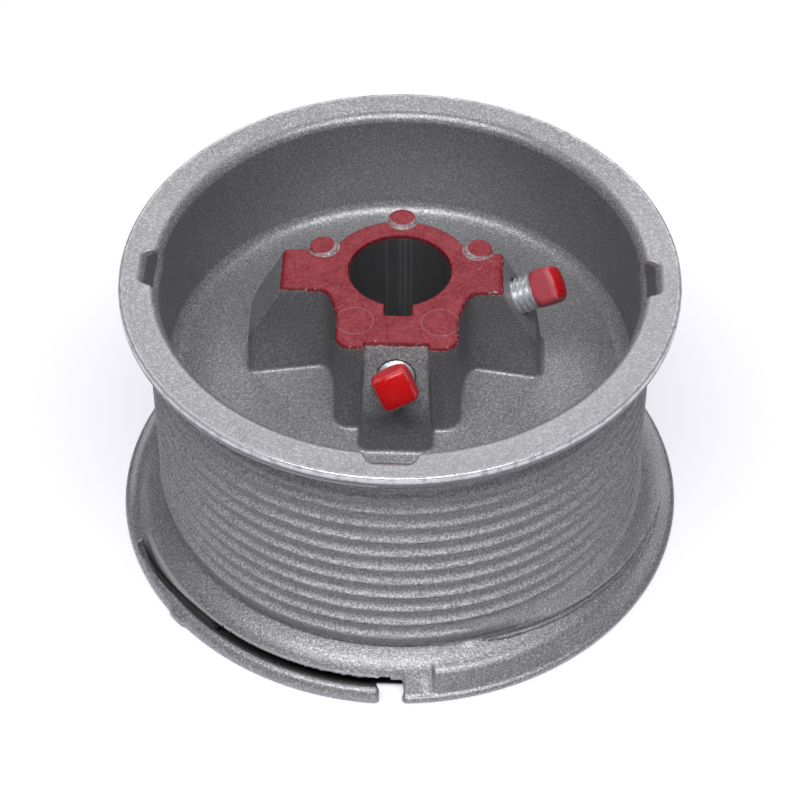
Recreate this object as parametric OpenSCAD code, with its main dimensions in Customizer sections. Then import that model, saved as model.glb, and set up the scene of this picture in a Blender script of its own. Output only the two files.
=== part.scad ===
// Garage door cable drum: a cast drum with a helical cable winding, held to its shaft by two set screws.
// Millimetres. The bore runs along Z, the drum stands on its anchor flange at z = 0, and the keyway faces -Y.

/* [Winding] */
// Diameter over the ridges between the cable grooves
crest_d = 130.2; // [124:0.2:136]
// Depth of the cable groove
groove_depth = 1.5; // [1:0.1:1.8]
// Rise of the cable groove in one turn
pitch = 5.25; // [4.8:0.05:5.8]
// Flat left on the ridge between two turns
ridge_land = 0.85; // [0.5:0.05:1.2]
// Height of the lowest whole ridge at the front
first_ridge_z = 14.5; // [13.5:0.1:16]
// Thickness of the wall under the groove
wall = 2; // [1.6:0.1:2.6]
// Extra thickness of the wall at the cup's floor, for draft
wall_draft = 0.8; // [0.4:0.1:1.2]

/* [Rim] */
// Outer diameter of the rim
rim_d = 143; // [138:0.5:150]
// Height of the rim's top face
rim_h = 81.1; // [78:0.1:86]
// Height of the rim's outer edge
rim_edge = 3.4; // [2.5:0.1:5]
// Height of the cone under the rim
rim_cone_h = 4.4; // [3.5:0.1:6]
// Radius of the rounding at the cup's mouth
mouth_round = 2.8; // [2:0.1:3.4]
// Width of a tool notch at its outer end
notch_w = 10.5; // [8:0.5:13]
// How much wider a tool notch is at the cup's wall
notch_flare = 3.5; // [2:0.5:5]
// Reach of a tool notch outward from the cup's wall
notch_reach = 5; // [4:0.1:6]

/* [Cup] */
// Height of the cup's floor where it meets the wall
floor_h = 47.9; // [44:0.1:54]
// Slope of the cup's floor, rising to the hub, in degrees
floor_slope = 10.2; // [6:0.1:12]
// Thickness of the web under the floor
web = 4.6; // [3.6:0.1:6]
// Radius of the fillet between the floor and the wall
floor_round = 4; // [2:0.5:6]

/* [Hub] */
// Height of the hub's top face over the rim
hub_rise = 0.8; // [0:0.1:4]
// Diameter of the hub's barrel
hub_d = 38; // [35:0.5:42]
// Diameter of the shaft bore
bore_d = 25.8; // [24:0.1:27]
// Width of the keyway
key_w = 6.8; // [6:0.1:8]
// Distance from the bore's axis to the keyway's floor
key_reach = 16.6; // [15:0.1:17.2]
// Width of the block round the keyway
block_w = 30.8; // [28:0.2:34]
// Distance from the axis to the block's front face
block_reach = 28; // [26:0.1:30]
// Corner radius of the block
block_round = 4; // [2:0.5:5]
// Width of the two side bosses
arm_w = 15; // [13:0.5:17]
// Reach of the drilled side boss at its top
arm_reach = 25.8; // [24:0.1:28]
// Reach of the undrilled side boss at its top
blank_reach = 29.6; // [27:0.1:32]
// Width of the front boss
front_w = 18.6; // [15:0.2:20]
// Reach of the front boss at its top
front_reach = 26; // [24:0.1:27.5]
// Height of the sloping seat at a boss's end
seat_h = 17; // [15:0.5:19]
// Radius of the fillet between a side boss and the block
arm_fillet = 5; // [3:0.5:6]
// Diameter of the three back pads
back_pad_d = 7.2; // [6:0.2:8]
// Distance from the axis to the centre of the pad between the side bosses
back_pad_reach = 19; // [18:0.1:20]
// Distance from the axis to the centres of the pads at the side bosses
arm_pad_reach = 21.3; // [20:0.1:22]
// Angle of the side boss pads above the X axis, in degrees
arm_pad_angle = 22; // [18:0.5:26]
// Height of the back pads over the top face
back_pad_h = 0.6; // [0.2:0.1:1]
// Diameter of the two front pads
front_pad_d = 9.4; // [8:0.2:10]
// Distance between the two front pads
front_pad_gap = 21.4; // [20:0.2:23]
// Distance from the axis to the front pads' centre line
front_pad_reach = 19; // [18:0.1:21]
// Depth of the front pads under the top face
front_pad_depth = 0.3; // [0.2:0.1:0.6]

/* [Anchor flange] */
// Outer diameter of the flange's foot
flange_d = 151; // [147:0.5:158]
// Height of the flange's cone where it meets the winding
flange_h = 10.6; // [9.8:0.1:12]
// Height of the upright edge at the foot
foot_edge = 0.8; // [0.5:0.1:1.5]
// Thickness of the flange's skirt
skirt = 4; // [3.2:0.1:5]
// Diameter of the raised lip's crest
lip_d = 142; // [140:0.5:145]
// Height of the raised lip's crest
lip_h = 6.9; // [6.2:0.1:8]
// Width of the cable notch
cable_notch_w = 5.8; // [4.5:0.1:8]
// Diameter of the skirt's edge over the cable slit
slit_d = 142.4; // [140:0.2:144]
// Width of the cable slit at the notch
slit_w = 1.6; // [1:0.1:3]
// Angle that the cable slit spans beside the notch, in degrees
slit_span = 68; // [50:1:80]
// Height of the foot's band outside the slit
band_h = 3.3; // [2.6:0.1:4]
// Angle from the notch to the step where the raised lip starts, in degrees
lip_start = 8.8; // [6:0.2:14]
// Width of the lip's top, inward from its crest
lip_w = 2.8; // [2:0.1:3.6]
// Diameter of the rounded gate stub at the foot
gate_d = 6; // [4:0.5:7]
// How far the gate stub stands out of the foot
gate_out = 1.2; // [0.6:0.1:2]
// Height of the gate stub
gate_h = 2.4; // [1.6:0.1:3]
// Angle of the gate stub about the bore, in degrees
gate_angle = 221; // [206:1:250]

/* [Set screws] */
// Diameter of the set screws
screw_d = 9.5; // [8:0.1:10]
// Length of a set screw under its head
screw_l = 21.6; // [19:0.1:24]
// Width of the square head across its flats
head_w = 9.5; // [8:0.1:11]
// Length of the square head
head_l = 7.2; // [5:0.1:9]
// Thread of the front screw that stands out of its boss
front_out = 4.3; // [3:0.1:6]
// Thread of the side screw that stands out of its boss
side_out = 5.1; // [3:0.1:6]
// Upward tilt of the set screws, in degrees
screw_tilt = 28; // [22:0.5:32]
// Distance below the top face at which a screw leaves its seat
screw_drop = 8.5; // [7.5:0.1:11]
// Turn of the front screw's head about its axis, in degrees
front_turn = 26; // [0:1:90]
// Turn of the side screw's head about its axis, in degrees
side_turn = 45; // [0:1:90]
// Radial clearance of a set screw in its hole
screw_clearance = 0.05; // [0.02:0.01:0.1]

/* [Hidden] */
$fn = 96;

// Small length by which a cut runs past a face, and a joined solid into its neighbour
over = 1;

crest_r = crest_d / 2;
root_r = crest_r - groove_depth;
cup_r = root_r - wall;
floor_r = cup_r - wall_draft;
rim_r = rim_d / 2;
hub_h = rim_h + hub_rise;
hub_r = hub_d / 2;
bore_r = bore_d / 2;
flange_r = flange_d / 2;
lip_r = lip_d / 2;
slit_r = slit_d / 2;
screw_r = screw_d / 2;

// Directions of the bosses about the bore, in degrees
side_angle = 0;
blank_angle = 180;
front_angle = 270;

// The groove is a circular arc between two ridge lands
groove_half = (pitch - ridge_land) / 2;
groove_r = (groove_half * groove_half + groove_depth * groove_depth) / (2 * groove_depth);
groove_points = 6;
turn_points = 40;
// The winding's ends lie inside the flange and the rim, and its inner side inside the wall
core_r = cup_r + wall * 2 / 3;
sleeve_r = cup_r + wall / 3;
sleeve_low = flange_h - skirt / 3;
sleeve_high = rim_h - mouth_round;
first_groove_z = first_ridge_z + pitch / 2 + pitch * front_angle / 360;
low_groove_z = first_groove_z - pitch * ceil((first_groove_z - sleeve_low + groove_half) / pitch);
groove_count = ceil((sleeve_high - low_groove_z) / pitch) + 2;
last_row = groove_count * groove_points - 1;

// The flange is a cone, and its skirt is as thick all the way down
cone_rise = (flange_h - foot_edge) / (flange_r - crest_r);
skirt_run = skirt / sin(atan(cone_rise));

// The outer side of the cable slit is the skirt's edge circle, moved outward to open at the notch
slit_angle = front_angle - slit_span;
slit_shift = slit_w / sin(slit_span);
// Angle by which the foot's band runs into the raised lip
band_lap = 3;

// Each boss ends in a seat square to its screw
seat_run = tan(screw_tilt);
hub_low = floor_z(blank_reach + seat_h * seat_run) - over / 2;

// Flats along a rounded corner of the turned section
round_steps = 8;

function groove_radius(x) = root_r + groove_r - sqrt(groove_r * groove_r - x * x);
function floor_z(r) = floor_h + (floor_r - r) * tan(floor_slope);
function round_points(r, z, radius, start, end) = [
    for (step = [0:round_steps])
        let (angle = start + (end - start) * step / round_steps)
        [r + radius * cos(angle), z + radius * sin(angle)]
];
function cone_z(r) = flange_h - (r - crest_r) * cone_rise;
function cone_r(z) = crest_r + (flange_h - z) / cone_rise;

// Points of the winding: rows climb the grooves, columns go round the bore and fall by one pitch a turn
function row_x(row) = groove_half * (2 * (row % groove_points) / (groove_points - 1) - 1);
function row_z(row) = low_groove_z + pitch * floor(row / groove_points) + row_x(row);
function winding_point(column, row) =
    let (angle = 360 * column / turn_points, r = groove_radius(row_x(row)))
    [r * cos(angle), r * sin(angle), row_z(row) - pitch * column / turn_points];
function winding_index(column, row) =
    column < turn_points ? column * (last_row + 1) + row
    : row < groove_points ? turn_points * (last_row + 1) + row
    : row - groove_points;

module winding_plug() {
    low_axis = turn_points * (last_row + 1) + groove_points;
    high_axis = low_axis + 1;
    points = concat(
        [for (column = [0:turn_points - 1], row = [0:last_row]) winding_point(column, row)],
        [for (row = [0:groove_points - 1]) winding_point(turn_points, row)],
        [[0, 0, row_z(0)], [0, 0, row_z(last_row)]]
    );
    flanks = [
        for (column = [0:turn_points - 1], row = [0:last_row - 1])
            let (here = winding_index(column, row), across = winding_index(column + 1, row + 1))
            each [
                [here, winding_index(column, row + 1), across],
                [here, across, winding_index(column + 1, row)]
            ]
    ];
    ends = [
        for (column = [0:turn_points - 1], end = [0, 1])
            end == 0
                ? [low_axis, winding_index(column, 0), winding_index(column + 1, 0)]
                : [high_axis, winding_index(column + 1, last_row), winding_index(column, last_row)]
    ];
    steps = [
        concat([low_axis], [for (row = [0:groove_points]) winding_index(turn_points, row)]),
        concat([high_axis], [for (row = [0:groove_points]) winding_index(0, last_row - row)])
    ];
    polyhedron(points = points, faces = concat(flanks, ends, steps), convexity = 20);
}

module winding() {
    intersection() {
        winding_plug();
        translate([0, 0, sleeve_low]) difference() {
            cylinder(r = crest_r + over, h = sleeve_high - sleeve_low);
            translate([0, 0, -over]) cylinder(r = sleeve_r, h = sleeve_high - sleeve_low + 2 * over);
        }
    }
}

// The wall, rim, web and flange are turned about the bore
module shell() {
    web_r = hub_r - over;
    rim_low = rim_h - rim_edge;
    round_r = floor_r - floor_round;
    round_z = floor_z(round_r) + floor_round / cos(floor_slope);
    mouth = round_points(cup_r + mouth_round, rim_h - mouth_round, mouth_round, 90, 180);
    corner = round_points(round_r, round_z, floor_round, 0, -90 - floor_slope);
    section = concat(
        [[flange_r, 0], [flange_r, foot_edge], [core_r, cone_z(core_r)]],
        [[core_r, rim_low - rim_cone_h], [rim_r, rim_low], [rim_r, rim_h]],
        mouth,
        corner,
        [[web_r, floor_z(web_r)], [web_r, floor_z(web_r) - web], [floor_r, floor_h - web]],
        [[cup_r, cone_z(cup_r + skirt_run)], [cone_r(0) - skirt_run, 0]]
    );
    rotate_extrude() polygon(section);
}

// The raised lip follows the foot from the step beside the notch round to the slit
module lip() {
    lip_in = lip_r - lip_w;
    sink = skirt / 3;
    section = [
        [lip_in, cone_z(lip_in) - sink],
        [lip_in, cone_z(lip_in)],
        [lip_r, lip_h],
        [flange_r - foot_edge / 2, foot_edge],
        [flange_r - sink, foot_edge / 2]
    ];
    rotate([0, 0, front_angle + lip_start])
        rotate_extrude(angle = 360 - slit_span - lip_start) polygon(section);
}

// The band is the foot's rim outside the cable slit
module band() {
    band_in = flange_r - skirt;
    band_out = flange_r - foot_edge / 4;
    rotate([0, 0, slit_angle - band_lap]) rotate_extrude(angle = slit_span + band_lap)
        translate([band_in, foot_edge / 2]) square([band_out - band_in, band_h - foot_edge / 2]);
    rotate([0, 0, gate_angle]) translate([flange_r + gate_out - gate_d / 2, 0, 0])
        cylinder(d = gate_d, h = gate_h);
}

module slit_cut() {
    translate([0, 0, -over]) linear_extrude(flange_h + over) intersection() {
        difference() {
            rotate(slit_angle + 90) translate([slit_shift, 0]) circle(slit_r);
            circle(slit_r);
        }
        translate([-flange_r, -flange_r]) square([flange_r, flange_r]);
    }
}

module cable_notch_cut() {
    rotate([0, 0, front_angle]) translate([slit_r, -cable_notch_w / 2, -over])
        cube([flange_r, cable_notch_w, flange_h + over]);
}

// A tool notch is a sloping pocket in the rim's inner edge, in line with a boss
module tool_notch_cut() {
    wide = notch_w + 2 * notch_flare;
    out_r = cup_r + notch_reach;
    in_r = cup_r - notch_reach;
    intersection() {
        rotate([90, 0, 0]) linear_extrude(wide, center = true)
            polygon([[in_r, rim_h + over], [out_r + over, rim_h + over], [in_r, rim_h - (out_r - in_r)]]);
        linear_extrude(rim_h + 2 * over)
            polygon([
                [in_r, -notch_w / 2 - notch_flare],
                [out_r + over, -notch_w / 2],
                [out_r + over, notch_w / 2],
                [in_r, notch_w / 2 + notch_flare]
            ]);
    }
}

module arm_corner() {
    translate([block_w / 2, -arm_w / 2]) difference() {
        translate([-over, -arm_fillet]) square([arm_fillet + over, arm_fillet + over]);
        translate([arm_fillet, -arm_fillet]) circle(arm_fillet);
    }
}

module back_pad_places() {
    for (angle = [90, arm_pad_angle, 180 - arm_pad_angle])
        rotate(angle) translate([angle == 90 ? back_pad_reach : arm_pad_reach, 0]) children();
}

module front_pad_places() {
    for (side = [-1, 1]) translate([side * front_pad_gap / 2, -front_pad_reach]) children();
}

module hub_plan() {
    seat_reach = seat_h * seat_run;
    translate([0, -arm_w / 2]) square([arm_reach + seat_reach, arm_w]);
    translate([-blank_reach - seat_reach, -arm_w / 2]) square([blank_reach + seat_reach, arm_w]);
    translate([-front_w / 2, -front_reach - seat_reach]) square([front_w, front_reach + seat_reach]);
    translate([-block_w / 2, block_round - block_reach]) square([block_w, block_reach - block_round]);
    translate([block_round - block_w / 2, -block_reach]) square([block_w - 2 * block_round, block_reach]);
    for (side = [-1, 1])
        translate([side * (block_w / 2 - block_round), block_round - block_reach]) circle(block_round);
    arm_corner();
    mirror([1, 0]) arm_corner();
}

// Takes off everything beyond the seat plane of a boss whose top ends at the given reach
module seat_cut(reach, width) {
    translate([reach, -width / 2, hub_h]) rotate([0, -screw_tilt, 0])
        translate([0, 0, -2 * seat_h]) cube([2 * seat_h, width, 3 * seat_h]);
}

// Moves its children to a screw's seat, with +Z along the screw and away from the bore
module at_seat(angle, reach) {
    rotate([0, 0, angle]) translate([reach + screw_drop * seat_run, 0, hub_h - screw_drop])
        rotate([0, 90 - screw_tilt, 0]) children();
}

module screw_hole_cut(angle, reach) {
    at_seat(angle, reach) translate([0, 0, -reach])
        cylinder(r = screw_r + screw_clearance, h = reach + 2 * screw_r);
}

module hub() {
    difference() {
        union() {
            cylinder(r = hub_r, h = hub_h);
            translate([0, 0, hub_low]) linear_extrude(hub_h - hub_low) hub_plan();
            translate([0, 0, hub_low]) linear_extrude(hub_h + back_pad_h - hub_low)
                back_pad_places() circle(d = back_pad_d);
        }
        rotate([0, 0, side_angle]) seat_cut(arm_reach, arm_w + 2 * over);
        rotate([0, 0, blank_angle]) seat_cut(blank_reach, arm_w + 2 * over);
        rotate([0, 0, front_angle]) seat_cut(front_reach, front_w);
        translate([0, 0, hub_h - front_pad_depth]) linear_extrude(front_pad_depth + over)
            front_pad_places() circle(d = front_pad_d);
    }
}

module drum() {
    color("darkgray") difference() {
        union() {
            shell();
            winding();
            lip();
            band();
            hub();
        }
        translate([0, 0, -over]) cylinder(r = bore_r, h = hub_h + 2 * over);
        translate([-key_w / 2, -key_reach, -over]) cube([key_w, key_reach, hub_h + 2 * over]);
        screw_hole_cut(front_angle, front_reach);
        screw_hole_cut(side_angle, arm_reach);
        slit_cut();
        cable_notch_cut();
        for (angle = [side_angle, blank_angle, front_angle]) rotate([0, 0, angle]) tool_notch_cut();
    }
}

// A square-head set screw with its seat at z = 0 and its cup point below.
// The corners at the back of its head are turned off.
module set_screw(turn, thread_out) {
    tip = screw_l - thread_out;
    point_h = screw_r / 4;
    cup_point_r = screw_r / 2;
    corner_r = head_w * 0.65;
    back_r = head_w * 0.53;
    dome_r = head_w * 1.5;
    rotate_extrude() polygon([
        [0, cup_point_r - tip],
        [cup_point_r, -tip],
        [screw_r - point_h, -tip],
        [screw_r, point_h - tip],
        [screw_r, thread_out + head_l / 2],
        [0, thread_out + head_l / 2]
    ]);
    rotate([0, 0, turn]) intersection() {
        translate([-head_w / 2, -head_w / 2, thread_out]) cube([head_w, head_w, head_l]);
        translate([0, 0, thread_out]) rotate_extrude() polygon([
            [0, 0],
            [back_r, 0],
            [corner_r, head_l / 4],
            [corner_r, head_l],
            [0, head_l]
        ]);
        translate([0, 0, thread_out + head_l - dome_r]) sphere(dome_r);
    }
}

module front_set_screw() {
    color("firebrick") at_seat(front_angle, front_reach) set_screw(front_turn, front_out);
}

module side_set_screw() {
    color("firebrick") at_seat(side_angle, arm_reach) set_screw(side_turn, side_out);
}

drum();
front_set_screw();
side_set_screw();
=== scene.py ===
import math

import bpy
import numpy as np
from mathutils import Matrix, Vector


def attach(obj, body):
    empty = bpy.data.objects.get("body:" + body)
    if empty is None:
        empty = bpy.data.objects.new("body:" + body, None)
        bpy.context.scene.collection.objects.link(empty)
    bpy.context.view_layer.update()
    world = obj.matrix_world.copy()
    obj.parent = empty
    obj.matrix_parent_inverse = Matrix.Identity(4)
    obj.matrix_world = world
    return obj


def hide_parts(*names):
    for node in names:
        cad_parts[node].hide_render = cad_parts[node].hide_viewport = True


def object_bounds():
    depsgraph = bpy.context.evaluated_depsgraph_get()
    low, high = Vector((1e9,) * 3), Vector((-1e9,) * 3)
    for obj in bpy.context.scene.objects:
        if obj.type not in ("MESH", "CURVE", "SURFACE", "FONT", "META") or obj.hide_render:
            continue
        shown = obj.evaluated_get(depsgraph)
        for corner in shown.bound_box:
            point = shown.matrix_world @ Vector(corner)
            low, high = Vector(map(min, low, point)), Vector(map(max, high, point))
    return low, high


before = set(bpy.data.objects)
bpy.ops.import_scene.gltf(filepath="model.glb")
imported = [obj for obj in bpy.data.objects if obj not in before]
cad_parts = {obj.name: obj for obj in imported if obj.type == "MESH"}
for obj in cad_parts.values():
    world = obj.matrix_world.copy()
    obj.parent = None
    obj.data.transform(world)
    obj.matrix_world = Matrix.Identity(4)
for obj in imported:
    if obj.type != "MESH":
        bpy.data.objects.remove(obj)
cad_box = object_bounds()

MM = 0.001
FULL_TURN = 2 * math.pi
# A distance in millimetres that is nowhere near a surface
FAR = 20.0

# Sizes are in millimetres, as in the part's source, and angles in radians.
# Angles about the bore run counter-clockwise from the front.
FRONT_ANGLE = math.radians(270)

# Winding
CREST_R = 65.1
GROOVE_DEPTH = 1.5
PITCH = 5.25
FIRST_RIDGE_Z = 14.5
WALL = 2.0
WALL_DRAFT = 0.8
WALL_END = 2.0
ROOT_R = CREST_R - GROOVE_DEPTH
CUP_R = ROOT_R - WALL
# The groove's cross-section leans: where it starts below a ridge, the land between two turns,
# the height and depth of its lowest place, the power of its curve and the softness of its edge
GROOVE_LEAD = 0.75
GROOVE_LAND = 0.6
GROOVE_SPAN = PITCH - GROOVE_LAND
GROOVE_LOW = 3.4
GROOVE_CUT = 1.7
GROOVE_POWER = 2.6
CROWN_SOFT = 0.2
# Its curve is followed beyond its edges to this many half-widths
GROOVE_BEYOND = 3
# The lowest groove dips to the wall's foot, over these angles
LAST_DIP = 2.2
DIP_START = math.pi
DIP_END = 1.9 * math.pi

# Rim and its tool notches
RIM_R = 71.5
RIM_H = 81.1
RIM_EDGE = 3.4
RIM_CONE_H = 4.4
RIM_TOP_ROUND = 0.7
RIM_CONE_ROUND = 1.2
RIM_FILLET = 0.6
MOUTH_ROUND = 2.8
MOUTH_START = RIM_H - 9
MOUTH_FULL = RIM_H - 4
CUP_EDGE = 0.05
NOTCH_HALF = 5.25
NOTCH_FLARE = 3.5
NOTCH_REACH = 5.0
NOTCH_CORNER = 1.2
NOTCH_EDGE = 0.7

# Cup, web and the hollow below it
FLOOR_H = 47.9
FLOOR_R = CUP_R - WALL_DRAFT
FLOOR_RISE = math.tan(math.radians(10.2))
FLOOR_ROUND = 4.5
WEB = 4.6
HOLLOW_ROUND = 3.5
HOLLOW_EDGE = 0.8

# Hub: barrel, two side bosses, the front block with its boss, and the pads on its face
HUB_H = 81.9
HUB_R = 19.0
HUB_SINK = 0.5
HUB_FILLET = 0.9
HUB_EDGE = 1.3
BORE_R = 12.9
BORE_EDGE = 0.35
KEY_HALF = 3.4
KEY_REACH = 16.6
KEY_CORNER = 0.7
BLOCK_HALF = 15.4
BLOCK_REACH = 28.0
BLOCK_ROUND = 4.0
ARM_HALF = 7.5
ARM_REACH = 25.8
ARM_JOIN = 3.0
ARM_FILLET = 5.0
BLANK_REACH = 29.6
FRONT_HALF = 7.9
FRONT_REACH = 26.0
FRONT_FILLET = 1.2
BOSS_CORNER = 2.2
TILT = math.radians(28)
SEAT_H = 17.0
SEAT_RUN = SEAT_H * math.tan(TILT)
BLANK_SEAT_EDGE = 1.2
SIDE_SEAT_EDGE = 0.9
FRONT_SEAT_EDGE = 1.5
SEAT_GROOVE_CORNER = 0.8
SEAT_GROOVE_EDGE = 0.4
BACK_PAD_R = 3.6
BACK_PAD_H = 0.6
BACK_PAD_EDGE = 0.45
BACK_PAD_FOOT = 0.3
BACK_PAD_FILLET = 0.8
BACK_PADS = [(0.0, 19.0), (19.75, 7.98), (-19.75, 7.98)]
FRONT_PAD_R = 4.7
FRONT_PADS = [(-10.7, -19.0), (10.7, -19.0)]
# Slopes of the casting's draft on the hub's upright faces
HUB_DRAFT = 0.02
BOSS_DRAFT = 0.045
END_DRAFT = 0.12

# Anchor flange: skirt, shelf beside the wall, foot, lip, band and the stub of the gate
FLANGE_R = 75.5
FLANGE_H = 10.6
FLANGE_FILLET = 0.8
FOOT_EDGE = 0.8
FOOT_ROUND = 1.0
FOOT_FILLET = 0.4
FOOT_CORNER = 0.5
SKIRT = 4.0
CONE_RISE = (FLANGE_H - FOOT_EDGE) / (FLANGE_R - CREST_R)
SKIRT_RUN = SKIRT / math.sin(math.atan(CONE_RISE))
FOOT_IN = CREST_R + FLANGE_H / CONE_RISE - SKIRT_RUN
SHELF_H = 8.7
SHELF_SLOPE = 0.33
SHELF_EDGE = 0.8
LIP_R = 71.0
LIP_H = 6.9
LIP_W = 2.8
LIP_SIDE_SLOPE = (LIP_H - FOOT_EDGE) / (FLANGE_R - FOOT_EDGE / 2 - LIP_R)
LIP_EDGE = 0.9
LIP_START = math.radians(278.8)
LIP_START_EDGE = 0.8
LIP_FILLET = 0.6
LIP_SINK = 3.2
LIP_SINK_START = math.radians(246)
LIP_SINK_END = math.radians(298)
BAND_R = 75.3
BAND_H = 3.6
BAND_SLOPE = 0.12
BAND_START = math.radians(250)
BAND_FULL = math.radians(300)
BAND_EDGE = 2.0
BAND_FILLET = 0.8
GATE_AHEAD = math.radians(311)
GATE_OUT = 0.7
GATE_IN = 0.5
GATE_H = 2.4
GATE_HALF = 4.5
GATE_EDGE = 0.9
GATE_FILLET = 0.5

# Ramp from the wall's foot out to the lip, the step at its lower edge and the crack along it
RAMP_START = math.radians(26)
RAMP_END = math.radians(84)
RAMP_FADE = math.radians(100)
RAMP_GROOVE_SHARE = 0.5
RAMP_RUN = 6.6
RAMP_LEAST_RUN = 0.3
RAMP_BEFORE = 0.3
RAMP_LAND = 0.9
RAMP_SUNK = 0.1
RAMP_FALL = 0.3
RAMP_EDGE = 0.3
RAMP_FILLET = 0.4
STEP_H = 2.0
STEP_LOSS = 1.2
STEP_LOW = math.radians(48)
CRACK_R = 0.7
CRACK_OUT = 0.3
CRACK_START = math.radians(18)
CRACK_FULL = math.radians(27)
CRACK_EDGE = 0.15

# Cable notch and slit, with the skirt's trimmed edge over the slit
CABLE_NOTCH_HALF = 2.9
CABLE_NOTCH_CORNER = 0.5
CABLE_NOTCH_EDGE = 1.3
SLIT_R = 70.8
SLIT_W = 1.4
SLIT_EDGE = 0.2
SLIT_FLARE = 2.0
SLIT_FAR = math.radians(290)
SLIT_TURN = math.radians(316)
SLIT_FULL = SLIT_TURN + 0.2
SLIT_SHALLOW = 1.5
SLIT_DEEPER = 8.0
SKIRT_EDGE = 0.8
SKIRT_GROWTH = 0.35
TRIM_START = math.radians(335)
TRIM_FULL = math.radians(352)
TRIM_WAVES = [(0.10, 210, 0), (0.08, 97, 1)]
POCKET_OVER = 0.2
POCKET_IN = 4.0
POCKET_FAR = SLIT_TURN + 0.05
POCKET_FAR_SLOPE = 0.3
POCKET_NEAR = 0.2

# Set screws and their holes
SCREW_R = 4.75
SCREW_L = 21.6
SCREW_DROP = 8.5
SCREW_REACH = SCREW_DROP * math.tan(TILT)
HOLE_R = 4.85
HOLE_EDGE = 0.15
FRONT_OUT = 4.3
SIDE_OUT = 5.1
FRONT_TURN = math.radians(26)
SIDE_TURN = math.radians(45)
SHANK_TOP = 0.3
# Thread: crest and flank are shares of half a pitch, and the scale evens out the flanks' slope
THREAD_PITCH = 1.5875
THREAD_DEPTH = 0.85
THREAD_CREST = 0.12
THREAD_FLANK = 0.76
THREAD_SCALE = 0.6
THREAD_PLAY = 0.02
POINT_ROUND = 0.3
POINT_CHAMFER = 1.0
POINT_CHAMFER_SCALE = 0.7
POINT_CUP_R = 2.7
POINT_CUP_BELOW = 1.2
POINT_EDGE = 0.2
HEAD_HALF = 4.75
HEAD_L = 7.2
HEAD_CORNER = 1.6
HEAD_DOME_R = 3 * HEAD_HALF
HEAD_DOME_EDGE = 1.4
HEAD_BACK_R = 5.03
HEAD_BACK_SLOPE = 0.63
HEAD_BACK_EDGE = 0.5
HEAD_FOOT_EDGE = 0.4
HEAD_FILLET = 0.3

# Meshes: sampled boxes and steps in millimetres, and the most triangles of a piece
DRUM_BOX = ((-78, -78, -1.5), (78, 78, 84))
DRUM_STEP = 0.6
DRUM_TRIANGLES = 190000
SCREW_BOX = ((-7, -7, -22.5), (7, 7, 8))
SCREW_STEP = 0.17
SCREW_TRIANGLES = 60000
SLABS = 16
SLOPE_REACH = 0.04
LEAST_SLOPE = 1e-9
SETTLE_ROUNDS = 3


# Fields: signed distances in millimetres, negative inside

def joined(a, b, radius):
    """Both solids, with a fillet where they meet."""
    hollow = np.hypot(np.maximum(radius - a, 0), np.maximum(radius - b, 0))
    return np.maximum(radius, np.minimum(a, b)) - hollow


def common(a, b, radius):
    """What two solids share, with its edge rounded."""
    bulge = np.hypot(np.maximum(radius + a, 0), np.maximum(radius + b, 0))
    return np.minimum(-radius, np.maximum(a, b)) + bulge


def cut(a, b, radius):
    """The first solid without the second, with its edge rounded."""
    return common(a, -b, radius)


def eased(value, start, end):
    """0 before start, 1 after end and smooth between them."""
    share = np.clip((value - start) / (end - start), 0, 1)
    return share * share * (3 - 2 * share)


def leaning(height, slope):
    """Distance to a slope from the height over it."""
    return height / math.hypot(1, slope)


def floor_z(r):
    """Height of the cup's coned floor."""
    return FLOOR_H + (FLOOR_R - r) * FLOOR_RISE


def cone_z(r):
    """Height of the skirt's top."""
    return FLANGE_H - (r - CREST_R) * CONE_RISE


def seat_plane(out, z, reach):
    """A boss's tilted seat, which meets the hub's face at reach."""
    return (out - reach) * math.cos(TILT) + (z - HUB_H) * math.sin(TILT)


def ramp_share(ahead):
    """0 where the ramp leaves the wall, 1 where it meets the lip."""
    return np.clip((ahead - RAMP_START) / (RAMP_END - RAMP_START), 0, 1)


def last_dip(ahead):
    """How far the lowest groove has dipped."""
    return LAST_DIP * eased(ahead, DIP_START, DIP_END)


def groove_shape(over):
    """Depth of the groove at a height over its lower edge, and how fast the depth changes."""
    half = np.where(over < GROOVE_LOW, GROOVE_LOW, GROOVE_SPAN - GROOVE_LOW)
    share = np.clip((over - GROOVE_LOW) / half, -GROOVE_BEYOND, GROOVE_BEYOND)
    depth = GROOVE_CUT * (1 - np.abs(share) ** GROOVE_POWER)
    root = np.hypot(depth, CROWN_SOFT)
    bend = np.sign(share) * np.abs(share) ** (GROOVE_POWER - 1)
    slope = GROOVE_CUT * GROOVE_POWER * bend / half
    return (depth + root) / 2, -slope * (1 + depth / root) / 2


def wall_field(r, ahead, z):
    """The winding, a helical groove that falls by one pitch a turn, counter-clockwise from above."""
    climb = z - FIRST_RIDGE_Z + GROOVE_LEAD + PITCH * ahead / FULL_TURN
    row = np.maximum(np.floor(climb / PITCH), -1)
    cut_depth, cut_slope = np.zeros_like(climb + r), np.zeros_like(climb + r)
    on_ramp = 1 - eased(ramp_share(ahead), 0.0, RAMP_GROOVE_SHARE)
    for turn in (row + 1, row, row - 1):
        dip = np.where(turn > 0, 0.0, np.where(turn == 0, last_dip(ahead), LAST_DIP))
        depth, slope = groove_shape(climb + dip - PITCH * turn - GROOVE_LAND)
        share = np.where(turn < -1, 0.0, np.where(turn == -1, on_ramp, 1.0))
        depth, slope = depth * share, slope * share
        deeper = depth > cut_depth
        cut_depth = np.where(deeper, depth, cut_depth)
        cut_slope = np.where(deeper, slope, cut_slope)
    plug = (r - CREST_R + cut_depth) / np.hypot(1, cut_slope)
    return np.maximum(plug, np.abs(z - RIM_H / 2) - RIM_H / 2 + WALL_END)


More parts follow.
